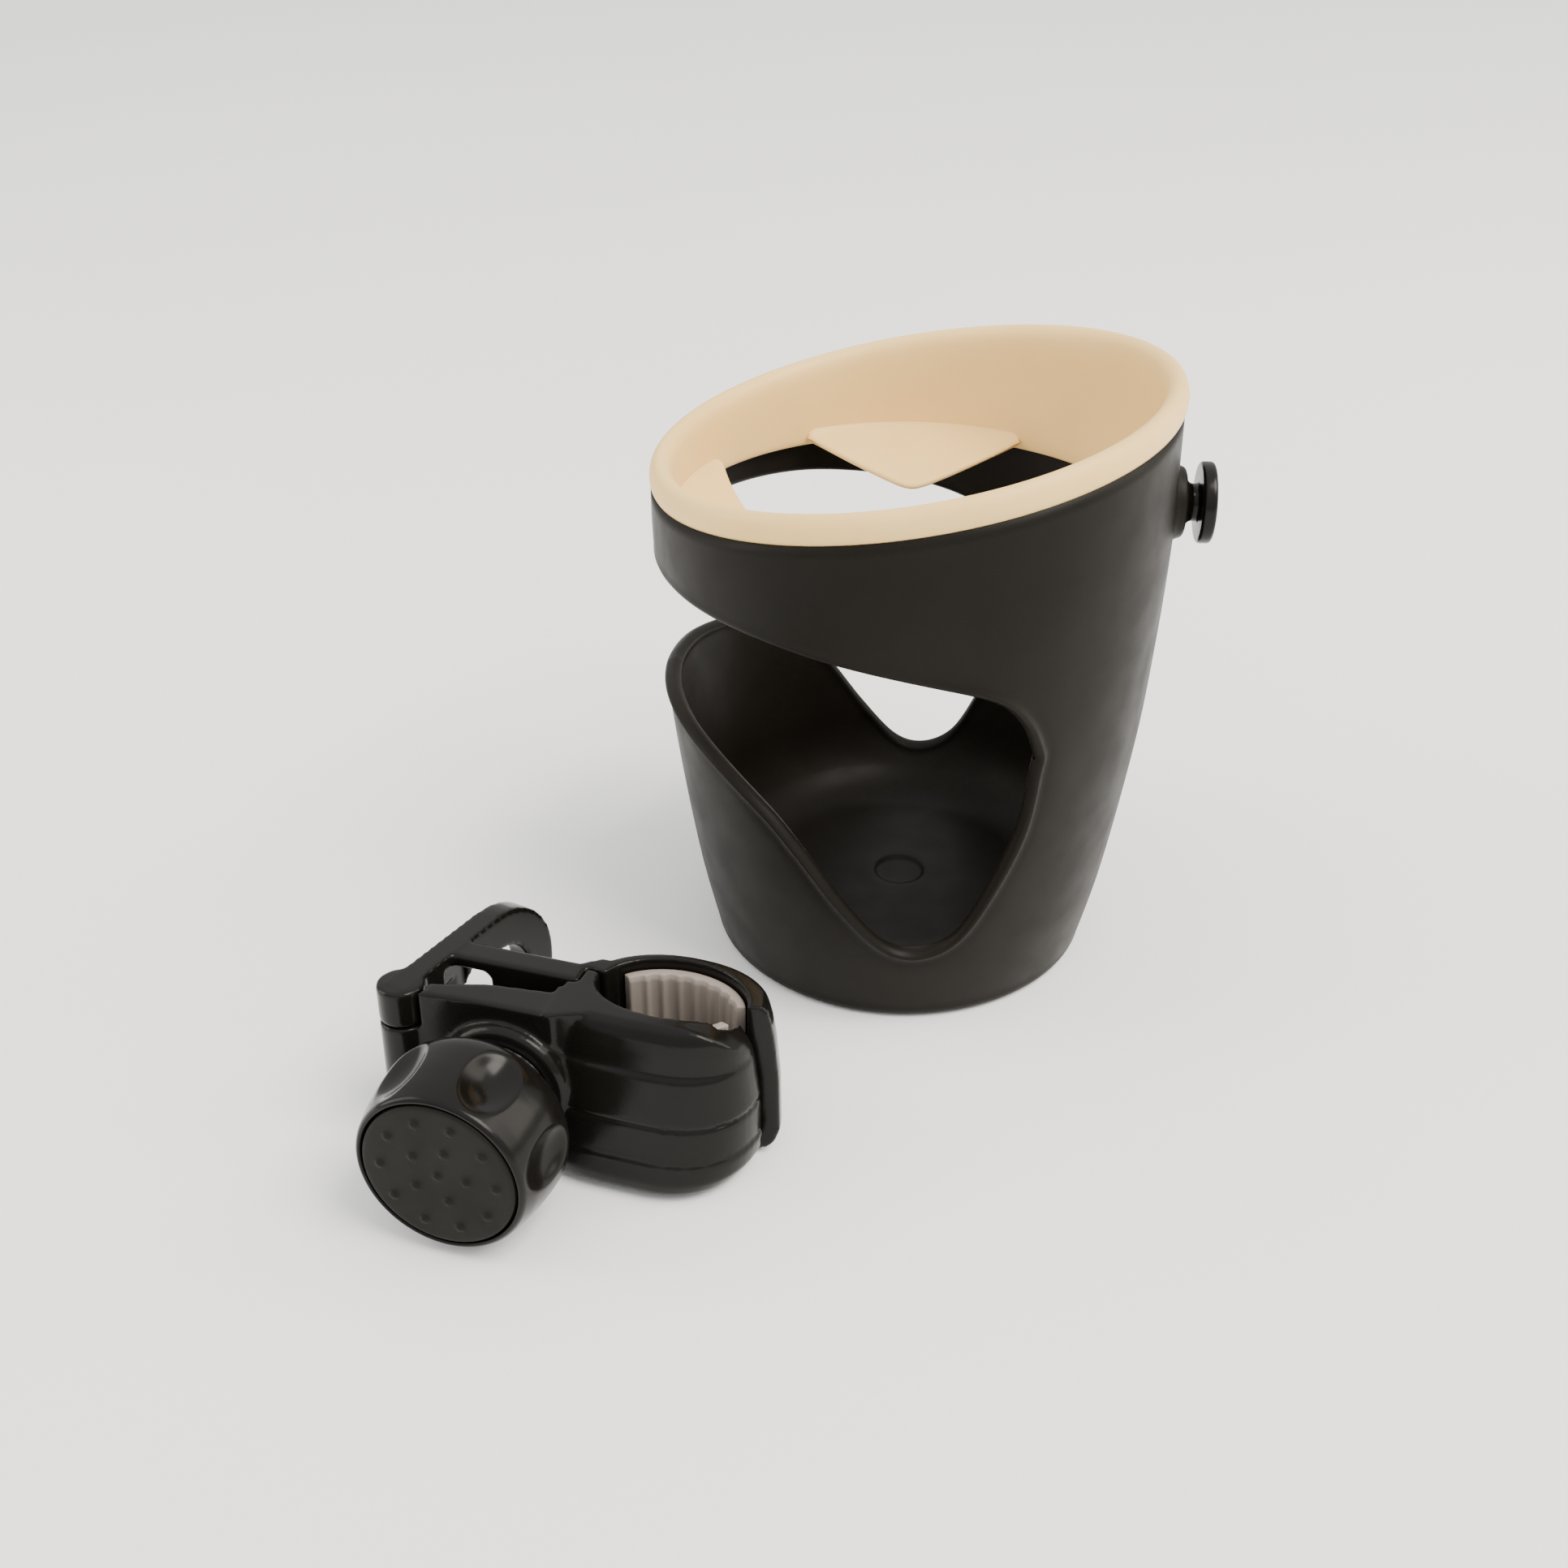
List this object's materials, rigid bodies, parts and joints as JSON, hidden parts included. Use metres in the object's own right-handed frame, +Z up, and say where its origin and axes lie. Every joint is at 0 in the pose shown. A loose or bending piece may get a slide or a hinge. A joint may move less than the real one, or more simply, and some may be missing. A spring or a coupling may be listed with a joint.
{
  "type": "clamp-on cup holder",
  "caption": "Open cup with a soft rim and grip flaps that hooks by a stud onto a knob-tightened round-tube clamp.",
  "frame": {"origin": "centre of the cup's base, on the surface it stands on", "axes": "+Z up; +X from the cup's axis towards its hook stud; the clamp lies at -X, -Y"},
  "size_m": [0.1501, 0.1632, 0.1221],
  "materials": {
    "shell_plastic": "charcoal moulded plastic, satin",
    "gloss_plastic": "black moulded plastic, glossy",
    "insert_rubber": "soft dark grey",
    "liner_rubber": "ivory, smooth and matte",
    "pad_rubber": "light grey, ribbed",
    "steel": "plated"
  },
  "bodies": {
    "clamp_frame": {"fixed_jaw": "gloss_plastic", "fixed_pad": "pad_rubber", "hinge_pin": "steel", "jaw_nut": "steel"},
    "swing_jaw": {"moving_jaw": "gloss_plastic", "moving_pad": "pad_rubber"},
    "knob_slider": {"thrust_washer": "steel"},
    "knob": {"knob_body": "gloss_plastic", "knob_insert": "insert_rubber", "clamp_screw": "steel"},
    "cup": {"cup_shell": "shell_plastic", "rim_liner": "liner_rubber", "stud_screw": "steel"},
    "stud": {"hook_stud": "gloss_plastic"},
    "flap_rear": {"grip_flap_rear": "liner_rubber"},
    "flap_left": {"grip_flap_left": "liner_rubber"},
    "flap_front": {"grip_flap_front": "liner_rubber"},
    "flap_right": {"grip_flap_right": "liner_rubber"}
  },
  "joints": [
    {"name": "knob_travel", "type": "slide", "parent": "clamp_frame", "child": "knob_slider", "axis": [-0.2367, -0.9709, 0.0358], "range_m": [0, 0.01]},
    {"name": "knob_turn", "type": "hinge", "parent": "knob_slider", "child": "knob", "pos_m": [-0.0749, -0.1096, 0.01791], "axis": [-0.2367, -0.9709, 0.0358], "range_deg": [0, 1800.01]},
    {"name": "jaw_hinge", "type": "hinge", "parent": "clamp_frame", "child": "swing_jaw", "pos_m": [-0.08815, -0.07695, 0.01689], "axis": [-0.0085, -0.0348, -0.9994], "range_deg": [0, 16.01]},
    {"name": "cup_lift", "type": "slide", "parent": "clamp_frame", "child": "cup", "axis": [0, 0, 1], "range_m": [0, 0.12]},
    {"name": "stud_swivel", "type": "hinge", "parent": "cup", "child": "stud", "pos_m": [0.055, 0, 0.0964], "axis": [1, 0, 0], "continuous": true},
    {"name": "flap_rear_flex", "type": "hinge", "parent": "cup", "child": "flap_rear", "pos_m": [0.0416, 0, 0.0934], "axis": [0, -1, 0], "range_deg": [0, 35], "stiffness_Nm_per_rad": 0.01},
    {"name": "flap_left_flex", "type": "hinge", "parent": "cup", "child": "flap_left", "pos_m": [0, 0.0416, 0.0934], "axis": [1, 0, 0], "range_deg": [0, 35], "stiffness_Nm_per_rad": 0.01},
    {"name": "flap_front_flex", "type": "hinge", "parent": "cup", "child": "flap_front", "pos_m": [-0.0416, 0, 0.0934], "axis": [0, 1, 0], "range_deg": [0, 35], "stiffness_Nm_per_rad": 0.01},
    {"name": "flap_right_flex", "type": "hinge", "parent": "cup", "child": "flap_right", "pos_m": [0, -0.0416, 0.0934], "axis": [-1, 0, 0], "range_deg": [0, 35], "stiffness_Nm_per_rad": 0.01}
  ],
  "couplings": [
    {"joint": "knob_turn", "follows": "knob_travel", "rad_per_m": 3141.6},
    {"joint": "jaw_hinge", "follows": "knob_travel", "rad_per_m": 27.925}
  ]
}
